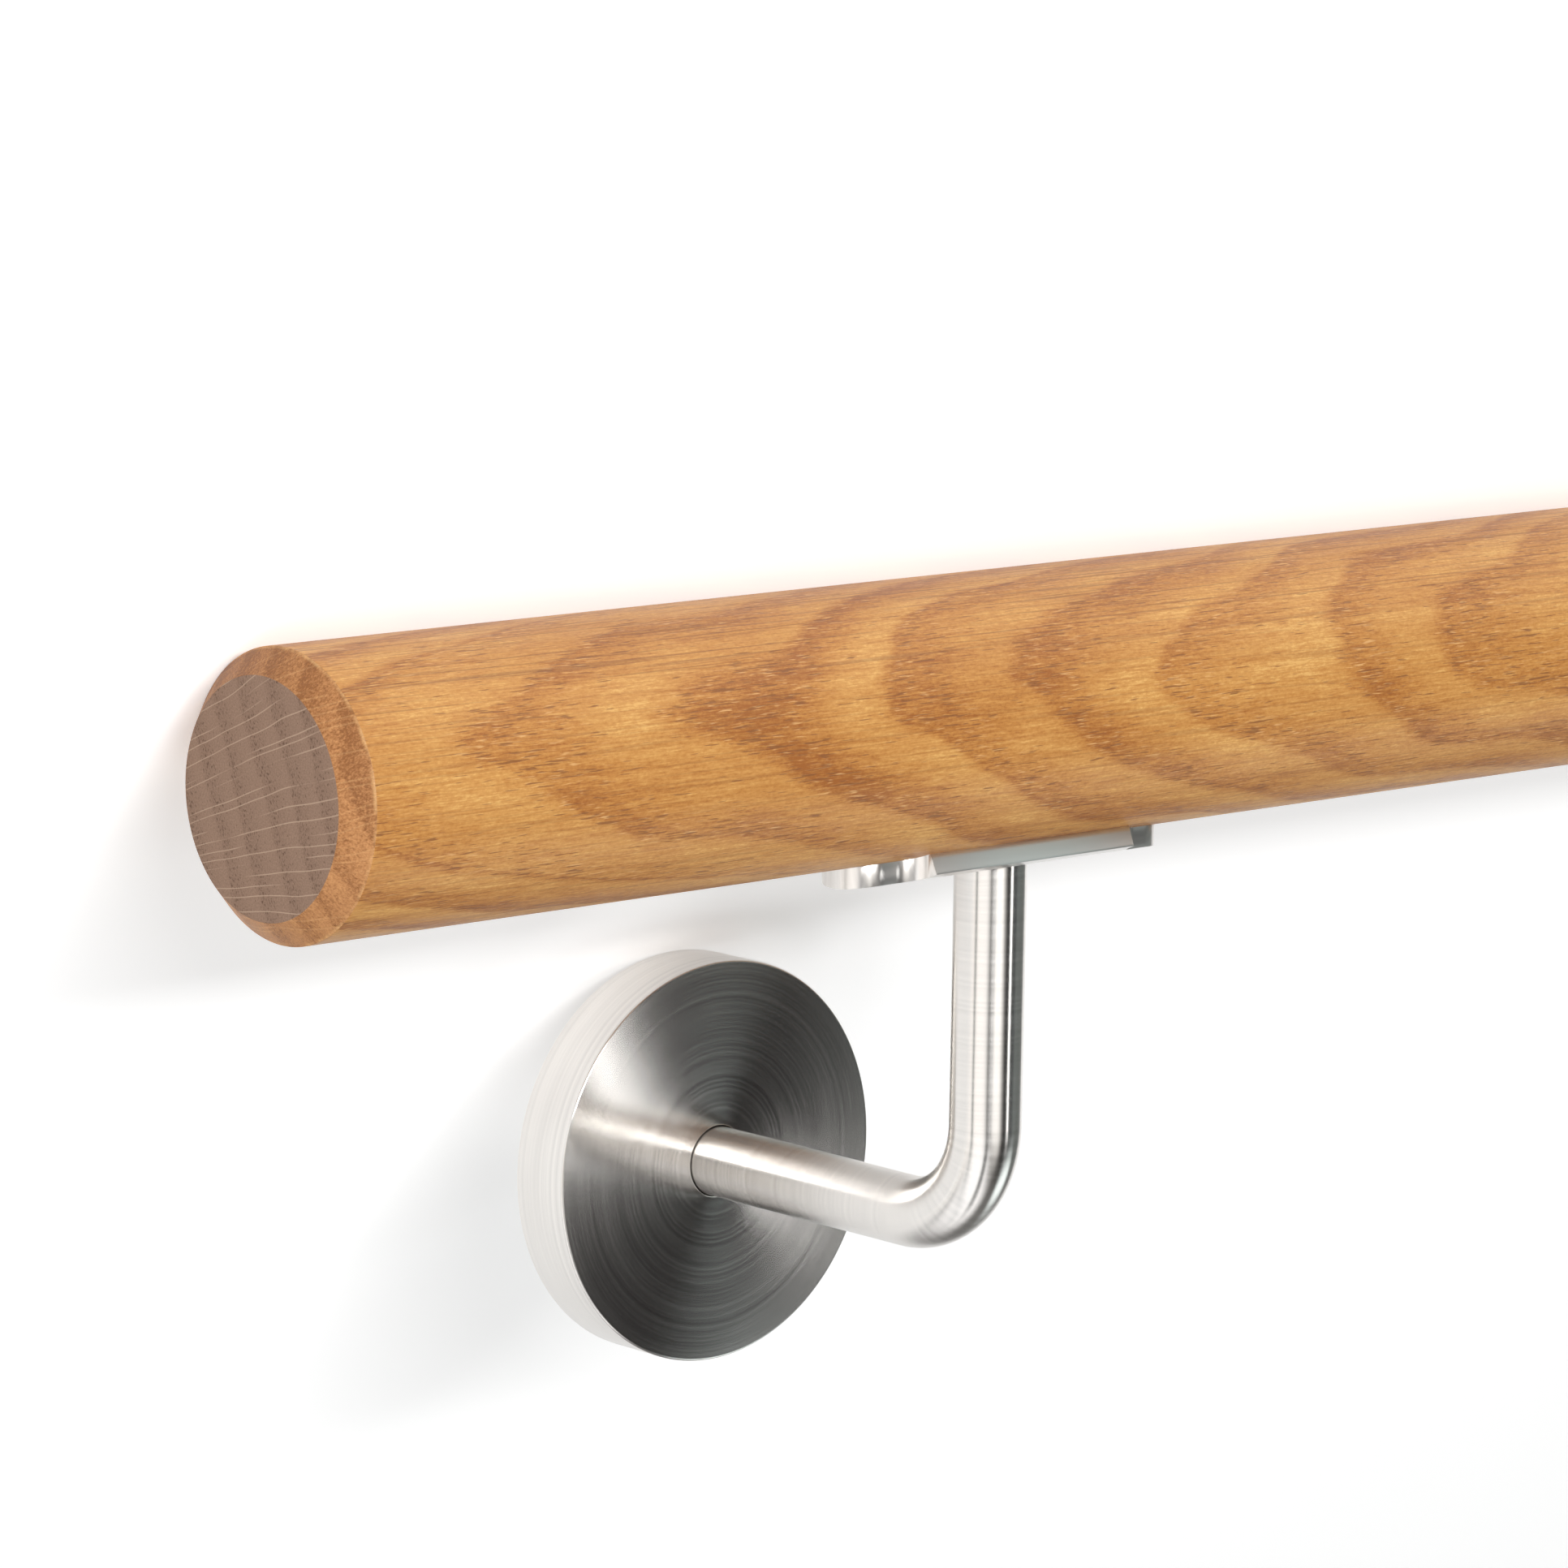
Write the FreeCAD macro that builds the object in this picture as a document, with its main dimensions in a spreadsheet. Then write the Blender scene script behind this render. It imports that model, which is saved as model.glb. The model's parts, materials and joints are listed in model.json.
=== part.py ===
import FreeCAD, Part
import math
import os
import Sketcher

# Driving dimensions in millimetres
SIZES = {
    "rail_length": 1000,
    "rail_diameter": 45,
    "end_chamfer": 4,
    "bracket_inset": 150,
    "wall_distance": 78,
    "arm_drop": 87,
    "rod_diameter": 12,
    "bend_radius": 18,
    "plate_thickness": 3.5,
    "plate_width": 21.5,
    "plate_middle": 44.5,
    "ear_fillet": 4.6,
    "ear_straight": 2.3,
    "ear_width": 12,
    "screw_length": 25,
    "screw_shank": 4,
    "screw_head": 8,
    "screw_tip": 2,
    "head_inset": 0.4,
    "recess_width": 4.4,
    "recess_slot": 1.1,
    "recess_depth": 1.6,
    "pilot_clearance": 0.05,
    "pilot_spare": 0.5,
    "rosette_diameter": 70,
    "rosette_height": 12,
    "rosette_wall": 1.5,
    "rosette_edge": 0.5,
    "rod_clearance": 0.2,
    "flange_clearance": 0.2,
    "flange_thickness": 5,
    "hole_circle": 50,
    "hole_diameter": 6.5,
    "hole_count": 3,
    "cut_margin": 5,
}

# Bracket frame of every piece: X along the rail, Y towards the wall, Z up, rail axis through the origin
RAIL_RADIUS = "(Sizes.rail_diameter / 2)"
ROD_RADIUS = "(Sizes.rod_diameter / 2)"
PLATE_RADIUS = f"({RAIL_RADIUS} + Sizes.plate_thickness)"
MIDDLE_HALF = "(Sizes.plate_middle / 2)"
EAR_HALF = "(Sizes.ear_width / 2)"
EAR_ROOT = f"({MIDDLE_HALF} + Sizes.ear_fillet)"
EAR_CENTRE = f"({EAR_ROOT} + Sizes.ear_straight)"
EAR_STEP = f"({EAR_HALF} + Sizes.ear_fillet)"
ROSETTE_RADIUS = "(Sizes.rosette_diameter / 2)"
ROSETTE_BORE = f"({ROSETTE_RADIUS} - Sizes.rosette_wall)"
FLANGE_RADIUS = f"({ROSETTE_BORE} - Sizes.flange_clearance)"
FLANGE_FRONT = "(Sizes.wall_distance - Sizes.flange_thickness)"
SHANK_RADIUS = "(Sizes.screw_shank / 2)"
PILOT_RADIUS = f"({SHANK_RADIUS} + Sizes.pilot_clearance)"
HEAD_RADIUS = "(Sizes.screw_head / 2)"
HEAD_FACE = f"(Sizes.head_inset - {PLATE_RADIUS})"
HEAD_TOP = f"({HEAD_FACE} + {HEAD_RADIUS} - {SHANK_RADIUS})"
TIP_TOP = f"({HEAD_FACE} + Sizes.screw_length)"
BRACKET_PLACE = "(Sizes.rail_length / 2 - Sizes.bracket_inset)"

# Resting pose: rail and both rosette rims lie on the floor, wall side down
RIM_DROP = f"(Sizes.arm_drop - {ROSETTE_RADIUS})"
REST_TILT = (
    f"(acos({RAIL_RADIUS} / hypot(Sizes.wall_distance; {RIM_DROP}))"
    f" - atan2({RIM_DROP}; Sizes.wall_distance))"
)
REST_TURN = f"90 deg + {REST_TILT}"
REST_SHIFT = (
    f"(Sizes.wall_distance * sin({REST_TILT})"
    f" + (Sizes.arm_drop + {ROSETTE_RADIUS}) * cos({REST_TILT}) - {RAIL_RADIUS}) / 2"
)

doc = FreeCAD.newDocument("handrail")
sheet = doc.addObject("Spreadsheet::Sheet", "Sizes")
for row, (alias, value) in enumerate(SIZES.items(), start=1):
    sheet.set(f"A{row}", alias)
    sheet.set(f"B{row}", str(value))
    sheet.setAlias(f"B{row}", alias)
doc.recompute()


def number(formula):
    """The present value of a formula, for the first drawing of a sketch."""
    result = sheet.evalExpression(formula)
    return float(getattr(result, "Value", result))


def new_body(label):
    body = doc.addObject("PartDesign::Body", label)
    body.Label = label
    return body


def plane(body, role):
    return next(item for item in body.Origin.OriginFeatures if item.Role == role)


def new_sketch(body, name, role, **offsets):
    """A sketch on one of the body's own planes, shifted along the sketch's x, y or z by formulas."""
    sketch = body.newObject("Sketcher::SketchObject", f"{body.Label}_{name}")
    sketch.AttachmentSupport = [(plane(body, role), "")]
    sketch.MapMode = "FlatFace"
    for axis, formula in offsets.items():
        sketch.setExpression(f"AttachmentOffset.Base.{axis}", formula)
    return sketch


def bind(sketch, formula, *constraint):
    index = sketch.addConstraint(Sketcher.Constraint(*constraint, number(formula)))
    sketch.setExpression(f"Constraints[{index}]", formula)


def pin(sketch, geometry, point, x_formula, y_formula):
    bind(sketch, x_formula, "DistanceX", -1, 1, geometry, point)
    bind(sketch, y_formula, "DistanceY", -1, 1, geometry, point)


def draw_circle(sketch, radius, x_formula="0", y_formula="0"):
    centre = FreeCAD.Vector(number(x_formula), number(y_formula), 0)
    circle = Part.Circle(centre, FreeCAD.Vector(0, 0, 1), number(radius))
    geometry = sketch.addGeometry(circle)
    pin(sketch, geometry, 3, x_formula, y_formula)
    bind(sketch, radius, "Radius", geometry)


def draw_arc(sketch, start, end, radius, left):
    """An arc of under half a turn from start to end, with its centre to the left or right of the chord."""
    chord = end - start
    side = FreeCAD.Vector(-chord.y, chord.x, 0).normalize()
    reach = math.sqrt(max(radius**2 - (chord.Length / 2) ** 2, 0))
    centre = (start + end) / 2 + side * (reach if left else -reach)
    circle = Part.Circle(centre, FreeCAD.Vector(0, 0, 1), radius)
    first, last = (start, end) if left else (end, start)
    return sketch.addGeometry(Part.ArcOfCircle(circle, circle.parameter(first), circle.parameter(last)))


def draw_profile(sketch, corners, arcs=None, closed=True):
    """Lines and arcs through corners given as pairs of formulas.

    arcs maps the number of an edge's first corner to its radius and whether its centre lies to the left.
    """
    arcs = arcs or {}
    points = [FreeCAD.Vector(number(x), number(y), 0) for x, y in corners]
    edges = len(points) if closed else len(points) - 1
    ends = []
    for index in range(edges):
        start = points[index]
        end = points[(index + 1) % len(points)]
        if index in arcs:
            radius, left = arcs[index]
            geometry = draw_arc(sketch, start, end, number(radius), left)
            ends.append((geometry, 1, 2) if left else (geometry, 2, 1))
        else:
            ends.append((sketch.addGeometry(Part.LineSegment(start, end)), 1, 2))
    for index, (geometry, first, last) in enumerate(ends):
        pin(sketch, geometry, first, *corners[index])
        if index + 1 < edges or closed:
            following, join = ends[(index + 1) % edges][:2]
            sketch.addConstraint(Sketcher.Constraint("Coincident", geometry, last, following, join))
        else:
            pin(sketch, geometry, last, *corners[index + 1])
    for index, (radius, left) in arcs.items():
        bind(sketch, radius, "Radius", ends[index][0])


def new_feature(body, kind, name, profile=None):
    feature = body.newObject(f"PartDesign::{kind}", f"{body.Label}_{name}")
    if profile:
        feature.Profile = profile
    return feature


def cut_through(body, name, sketch):
    """A pocket through everything on both sides of its sketch."""
    pocket = new_feature(body, "Pocket", name, sketch)
    pocket.SideType = "Two sides"
    pocket.Type = "ThroughAll"
    pocket.Type2 = "ThroughAll"
    return pocket


def set_tip(body, feature):
    body.Tip = feature
    doc.recompute()


def lay_down(body, along="0"):
    """Put a piece, at its place along the rail, into the resting pose."""
    body.Placement = FreeCAD.Placement(
        FreeCAD.Vector(), FreeCAD.Rotation(FreeCAD.Vector(-1, 0, 0), number(REST_TURN))
    )
    body.setExpression("Placement.Base.x", along)
    body.setExpression("Placement.Base.y", REST_SHIFT)
    body.setExpression("Placement.Base.z", RAIL_RADIUS)
    body.setExpression("Placement.Rotation.Angle", REST_TURN)


def circle_edges(shape, radius, centre_test):
    """Names of the full circular edges of a radius whose centres pass a test."""
    names = []
    for index, edge in enumerate(shape.Edges, start=1):
        if edge.Curve.TypeId != "Part::GeomCircle":
            continue
        if abs(edge.Curve.Radius - radius) < 1e-6 and centre_test(edge.Curve.Center):
            names.append(f"Edge{index}")
    return names


def build_rail(brackets):
    body = new_body("rail")
    section = new_sketch(body, "section", "YZ_Plane")
    draw_circle(section, RAIL_RADIUS)
    pad = new_feature(body, "Pad", "length", section)
    pad.SideType = "Symmetric"
    pad.setExpression("Length", "Sizes.rail_length")
    doc.recompute()
    chamfer = new_feature(body, "Chamfer", "end_chamfers")
    chamfer.Base = (pad, circle_edges(pad.Shape, number(RAIL_RADIUS), lambda centre: True))
    chamfer.setExpression("Size", "Sizes.end_chamfer")
    set_tip(body, chamfer)
    # Pilot holes run down from the screw tips and out through the underside
    holes = new_sketch(body, "pilots", "XY_Plane", z=f"{TIP_TOP} + Sizes.pilot_spare")
    for bracket in brackets:
        for side in ("-", "+"):
            draw_circle(holes, PILOT_RADIUS, f"{bracket} {side} {EAR_CENTRE}")
    pocket = new_feature(body, "Pocket", "pilot_holes", holes)
    pocket.Type = "ThroughAll"
    set_tip(body, pocket)
    lay_down(body)
    return body


def build_saddle_plate(label, along):
    body = new_body(label)
    # Strip bent to the rail: its long edges are radial
    section = new_sketch(body, "section", "YZ_Plane")
    edge_sine = f"(Sizes.plate_width / 2 / {PLATE_RADIUS})"
    edge_cosine = f"sqrt(1 - {edge_sine} ^ 2)"
    inner_y, inner_z = f"{RAIL_RADIUS} * {edge_sine}", f"-{RAIL_RADIUS} * {edge_cosine}"
    outer_y, outer_z = f"{PLATE_RADIUS} * {edge_sine}", f"-{PLATE_RADIUS} * {edge_cosine}"
    corners = [
        (f"-{outer_y}", outer_z),
        (outer_y, outer_z),
        (inner_y, inner_z),
        (f"-{inner_y}", inner_z),
    ]
    draw_profile(section, corners, {0: (PLATE_RADIUS, True), 2: (RAIL_RADIUS, False)})
    pad = new_feature(body, "Pad", "strip", section)
    pad.SideType = "Symmetric"
    pad.setExpression("Length", f"2 * ({EAR_CENTRE} + {EAR_HALF})")
    set_tip(body, pad)

    # Ear: the strip narrows over concave fillets and ends in a half circle
    ear = new_sketch(body, "ear", "XY_Plane")
    beyond = f"({EAR_CENTRE} + {EAR_HALF} + Sizes.cut_margin)"
    aside = f"({EAR_STEP} + Sizes.plate_width)"
    ear_end = f"({EAR_CENTRE} + {EAR_HALF})"
    corners = [
        (MIDDLE_HALF, f"-{aside}"),
        (beyond, f"-{aside}"),
        (beyond, aside),
        (MIDDLE_HALF, aside),
        (MIDDLE_HALF, EAR_STEP),
        (EAR_ROOT, EAR_HALF),
        (EAR_CENTRE, EAR_HALF),
        (ear_end, "0"),
        (EAR_CENTRE, f"-{EAR_HALF}"),
        (EAR_ROOT, f"-{EAR_HALF}"),
        (MIDDLE_HALF, f"-{EAR_STEP}"),
    ]
    arcs = {
        4: ("Sizes.ear_fillet", True),
        6: (EAR_HALF, False),
        7: (EAR_HALF, False),
        9: ("Sizes.ear_fillet", True),
    }
    draw_profile(ear, corners, arcs)
    ear_cut = cut_through(body, "ear_cut", ear)
    set_tip(body, ear_cut)

    # Countersunk hole concentric with the round end of the ear
    hole = new_sketch(body, "screw_hole", "XZ_Plane", x=EAR_CENTRE)
    outside = f"(-{PLATE_RADIUS} - Sizes.cut_margin)"
    inside = f"(-{RAIL_RADIUS} + Sizes.cut_margin)"
    corners = [
        ("0", outside),
        (HEAD_RADIUS, outside),
        (HEAD_RADIUS, HEAD_FACE),
        (PILOT_RADIUS, f"{HEAD_TOP} - Sizes.pilot_clearance"),
        (PILOT_RADIUS, inside),
        ("0", inside),
    ]
    draw_profile(hole, corners)
    countersink = new_feature(body, "Groove", "countersink", hole)
    countersink.ReferenceAxis = (hole, ["V_Axis"])
    set_tip(body, countersink)

    mirror = new_feature(body, "Mirrored", "second_ear")
    mirror.Originals = [ear_cut, countersink]
    mirror.MirrorPlane = (plane(body, "YZ_Plane"), [""])
    set_tip(body, mirror)
    lay_down(body, along)
    return body


def build_support_rod(label, along):
    body = new_body(label)
    path = new_sketch(body, "path", "YZ_Plane")
    arm = "-Sizes.arm_drop"
    corners = [
        ("0", f"-{RAIL_RADIUS}"),
        ("0", f"{arm} + Sizes.bend_radius"),
        ("Sizes.bend_radius", arm),
        (FLANGE_FRONT, arm),
    ]
    draw_profile(path, corners, {1: ("Sizes.bend_radius", True)}, closed=False)
    section = new_sketch(body, "section", "XY_Plane", z=f"-{RAIL_RADIUS}")
    draw_circle(section, ROD_RADIUS)
    doc.recompute()
    pipe = new_feature(body, "AdditivePipe", "bent_bar", section)
    pipe.Spine = (path, [f"Edge{index}" for index in range(1, len(corners))])
    set_tip(body, pipe)
    # Upper end coped to the round underside of the saddle plate
    cope = new_sketch(body, "cope", "YZ_Plane")
    draw_circle(cope, PLATE_RADIUS)
    set_tip(body, cut_through(body, "coped_end", cope))
    lay_down(body, along)
    return body


def build_wall_flange(label, along):
    body = new_body(label)
    wall_side = {"y": "-Sizes.arm_drop", "z": "-Sizes.wall_distance"}
    disc = new_sketch(body, "disc", "XZ_Plane", **wall_side)
    draw_circle(disc, FLANGE_RADIUS)
    pad = new_feature(body, "Pad", "plate", disc)
    pad.setExpression("Length", "Sizes.flange_thickness")
    set_tip(body, pad)
    hole = new_sketch(body, "hole", "XZ_Plane", **wall_side)
    draw_circle(hole, "Sizes.hole_diameter / 2", "0", "Sizes.hole_circle / 2")
    first_hole = cut_through(body, "first_hole", hole)
    set_tip(body, first_hole)
    pattern = new_feature(body, "PolarPattern", "holes")
    pattern.Originals = [first_hole]
    pattern.Axis = (disc, ["N_Axis"])
    pattern.setExpression("Occurrences", "Sizes.hole_count")
    set_tip(body, pattern)
    lay_down(body, along)
    return body


def build_cover_rosette(label, along):
    body = new_body(label)
    # Turned cup: open to the wall, with a hole in its face that slides on the rod
    cup = new_sketch(body, "cup", "YZ_Plane", y="-Sizes.arm_drop")
    wall = "Sizes.wall_distance"
    face = "(Sizes.wall_distance - Sizes.rosette_height)"
    floor = f"({face} + Sizes.rosette_wall)"
    rod_hole = f"({ROD_RADIUS} + Sizes.rod_clearance)"
    corners = [
        (face, rod_hole),
        (floor, rod_hole),
        (floor, ROSETTE_BORE),
        (wall, ROSETTE_BORE),
        (wall, ROSETTE_RADIUS),
        (face, ROSETTE_RADIUS),
    ]
    draw_profile(cup, corners)
    turned = new_feature(body, "Revolution", "turned_cup", cup)
    turned.ReferenceAxis = (cup, ["H_Axis"])
    set_tip(body, turned)
    face_place = number(face)
    rim = circle_edges(
        turned.Shape, number(ROSETTE_RADIUS), lambda centre: abs(centre.y - face_place) < 1e-6
    )
    edge = new_feature(body, "Chamfer", "soft_edge")
    edge.Base = (turned, rim)
    edge.setExpression("Size", "Sizes.rosette_edge")
    set_tip(body, edge)
    lay_down(body, along)
    return body


def build_screw(label, along):
    body = new_body(label)
    outline = new_sketch(body, "outline", "XZ_Plane")
    corners = [
        ("0", HEAD_FACE),
        (HEAD_RADIUS, HEAD_FACE),
        (SHANK_RADIUS, HEAD_TOP),
        (SHANK_RADIUS, f"{TIP_TOP} - Sizes.screw_tip"),
        ("0", TIP_TOP),
    ]
    draw_profile(outline, corners)
    turned = new_feature(body, "Revolution", "turned", outline)
    turned.ReferenceAxis = (outline, ["V_Axis"])
    set_tip(body, turned)
    # Cross recess in the head
    recess = new_sketch(body, "recess", "XY_Plane", z=HEAD_FACE)
    arm = "(Sizes.recess_width / 2)"
    slot = "(Sizes.recess_slot / 2)"
    corners = [
        (slot, slot),
        (slot, arm),
        (f"-{slot}", arm),
        (f"-{slot}", slot),
        (f"-{arm}", slot),
        (f"-{arm}", f"-{slot}"),
        (f"-{slot}", f"-{slot}"),
        (f"-{slot}", f"-{arm}"),
        (slot, f"-{arm}"),
        (slot, f"-{slot}"),
        (arm, f"-{slot}"),
        (arm, slot),
    ]
    draw_profile(recess, corners)
    pocket = new_feature(body, "Pocket", "cross_recess", recess)
    pocket.Reversed = True
    pocket.setExpression("Length", "Sizes.recess_depth")
    set_tip(body, pocket)
    lay_down(body, along)
    return body


def build_bracket(side, along, end_sign):
    """All pieces of one wall bracket. end_sign points from the bracket to the near rail end."""
    inner_sign = "-" if end_sign == "+" else "+"
    return [
        build_saddle_plate(f"{side}_saddle_plate", along),
        build_support_rod(f"{side}_support_rod", along),
        build_wall_flange(f"{side}_wall_flange", along),
        build_cover_rosette(f"{side}_cover_rosette", along),
        build_screw(f"{side}_end_screw", f"{along} {end_sign} {EAR_CENTRE}"),
        build_screw(f"{side}_inner_screw", f"{along} {inner_sign} {EAR_CENTRE}"),
    ]


left_place = f"-{BRACKET_PLACE}"
pieces = [build_rail((left_place, BRACKET_PLACE))]
pieces += build_bracket("left", left_place, "-")
pieces += build_bracket("right", BRACKET_PLACE, "+")
doc.recompute()

for item in doc.Objects:
    if "Invalid" in item.State or "Error" in item.State:
        raise RuntimeError(f"{item.Name} did not build: {item.State}")
for piece in pieces:
    if piece.Shape.isNull() or not piece.Shape.isValid() or len(piece.Shape.Solids) != 1:
        raise RuntimeError(f"{piece.Label} is not one valid solid")

os.makedirs("parts", exist_ok=True)
for piece in pieces:
    piece.Shape.exportStep(f"parts/{piece.Label}.step")
    print(f"{piece.Label}: {piece.Shape.Volume:.1f} mm3")
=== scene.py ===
import json
import math

import bmesh
import bpy
import numpy as np
from mathutils import Matrix, Vector


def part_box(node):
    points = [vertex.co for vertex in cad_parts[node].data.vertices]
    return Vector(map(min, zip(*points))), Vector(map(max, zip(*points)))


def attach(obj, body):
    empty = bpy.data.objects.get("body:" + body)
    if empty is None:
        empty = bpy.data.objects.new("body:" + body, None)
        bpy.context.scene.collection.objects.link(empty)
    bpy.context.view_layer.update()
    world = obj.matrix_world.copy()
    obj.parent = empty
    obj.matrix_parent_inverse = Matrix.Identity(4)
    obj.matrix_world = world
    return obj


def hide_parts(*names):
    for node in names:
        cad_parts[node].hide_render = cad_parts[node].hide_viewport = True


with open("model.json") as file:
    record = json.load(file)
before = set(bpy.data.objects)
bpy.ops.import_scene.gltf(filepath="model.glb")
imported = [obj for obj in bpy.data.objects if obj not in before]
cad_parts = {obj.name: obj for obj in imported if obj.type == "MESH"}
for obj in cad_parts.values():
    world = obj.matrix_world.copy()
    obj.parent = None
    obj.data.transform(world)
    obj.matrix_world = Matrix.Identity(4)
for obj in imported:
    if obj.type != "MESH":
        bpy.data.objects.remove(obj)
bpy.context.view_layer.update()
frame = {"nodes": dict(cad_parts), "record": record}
record = frame["record"]
nodes = frame["nodes"]

# Rail frame in millimetres: X along the rail, Y towards the wall, Z up, origin on the rail's axis
MM = 0.001
LENGTHWISE = (1, 0, 0)
SIDEWAYS = (0, 1, 0)
UPRIGHT = (0, 0, 1)
CROSSWISE = (0, 1, 1)
rail_low, rail_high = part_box("rail")
rail_centre = (rail_low + rail_high) / 2
wall_mount = record["mounts"][0]
along = Vector(LENGTHWISE)
to_wall = Vector(wall_mount["axis"]).normalized()
upward = along.cross(to_wall)
turn = Matrix((along, to_wall, upward)).transposed().to_4x4()
rail_frame = Matrix.Translation(rail_centre) @ turn @ Matrix.Scale(MM, 4)
mount_offset = (Vector(wall_mount["pos_m"]) - rail_centre) / MM

RAIL_HALF = rail_high.x / MM
RAIL_RADIUS = (rail_high.z - rail_low.z) / MM / 2
BRACKET_PLACE = abs(mount_offset.x)
WALL_DISTANCE = mount_offset.dot(to_wall)
ARM_DROP = -mount_offset.dot(upward)
END_CHAMFER = 4
ROD_RADIUS = 6
BEND_RADIUS = 18
PLATE_THICKNESS = 3.5
PLATE_RADIUS = RAIL_RADIUS + PLATE_THICKNESS
FLANGE_THICKNESS = 5
ROSETTE_RADIUS = 35
ROSETTE_HEIGHT = 12
ROSETTE_WALL = 1.5
ROD_CLEARANCE = 0.2
SIDES = {"left": -1, "right": 1}

# Meshes
ROUND_STEPS = 6
SHARP_ANGLE = 40
FULL_TURN = 2 * math.pi
BRUSH_MAP = "brush"


def rounded_profile(corners, radii):
    """Points of an open outline whose inner corners are rounded by the given radii."""
    points = [Vector(corners[0])]
    for index in range(1, len(corners) - 1):
        corner = Vector(corners[index])
        radius = radii[index - 1]
        back = (Vector(corners[index - 1]) - corner).normalized()
        ahead = (Vector(corners[index + 1]) - corner).normalized()
        half_turn = back.angle(ahead) / 2
        reach = radius / math.tan(half_turn)
        centre = corner + (back + ahead).normalized() * (radius / math.sin(half_turn))
        start = corner + back * reach - centre
        end = corner + ahead * reach - centre
        swing = start.angle(end)
        for step in range(ROUND_STEPS + 1):
            share = step / ROUND_STEPS
            spoke = start * math.sin((1 - share) * swing) + end * math.sin(share * swing)
            points.append(centre + spoke / math.sin(swing))
    points.append(Vector(corners[-1]))
    return points


def path_lengths(points):
    steps = np.linalg.norm(np.diff(points, axis=0), axis=1)
    return np.concatenate([[0], np.cumsum(steps)])


def angles_round(count):
    return np.linspace(0, FULL_TURN, count, endpoint=False)


def ringed_mesh(name, rings, capped=False):
    """A mesh through rings of points, closed at both ends if capped.

    Its brush map has U from ring to ring and V round each ring, in millimetres.
    """
    rings = np.asarray(rings, float)
    count, around = rings.shape[:2]
    middle = rings[count // 2]
    lengths = path_lengths(rings[:, 0])
    girth = path_lengths(np.vstack([middle, middle[:1]]))
    faces = []
    corners = []
    for ring in range(count - 1):
        for step in range(around):
            following = (step + 1) % around
            low, high = ring * around, (ring + 1) * around
            faces.append((low + step, low + following, high + following, high + step))
            corners += [(lengths[ring], girth[step]), (lengths[ring], girth[step + 1])]
            corners += [(lengths[ring + 1], girth[step + 1]), (lengths[ring + 1], girth[step])]
    if capped:
        for ring in (0, count - 1):
            faces.append(tuple(range(ring * around, (ring + 1) * around)))
            corners += [(lengths[ring], distance) for distance in girth[:-1]]
    mesh = bpy.data.meshes.new(name)
    mesh.from_pydata(rings.reshape(-1, 3).tolist(), [], faces)
    layer = mesh.uv_layers.new(name=BRUSH_MAP)
    layer.data.foreach_set("uv", np.array(corners, np.float32).ravel())
    edit = bmesh.new()
    edit.from_mesh(mesh)
    bmesh.ops.recalc_face_normals(edit, faces=edit.faces)
    edit.to_mesh(mesh)
    edit.free()
    return mesh


def add_piece(mesh, node, place=0.0, sharp_angle=SHARP_ANGLE):
    """A shown piece, drawn in the rail frame, that stands for a node, shifted along the rail."""
    mesh.transform(rail_frame @ Matrix.Translation((place, 0, 0)))
    mesh.shade_smooth()
    mesh.set_sharp_from_angle(angle=math.radians(sharp_angle))
    piece = bpy.data.objects.new(mesh.name, mesh)
    bpy.context.scene.collection.objects.link(piece)
    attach(piece, "root")
    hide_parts(node)
    return piece


# Shader building blocks
NOISE_MIDDLE = 0.5
NOISE_LOW = 0.2
NOISE_HIGH = 0.8
NEW_STOP_PLACE = 0.5

# Places of the colour sockets on a mix node
FIRST_COLOUR = 6
SECOND_COLOUR = 7
MIXED_COLOUR = 2


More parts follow.
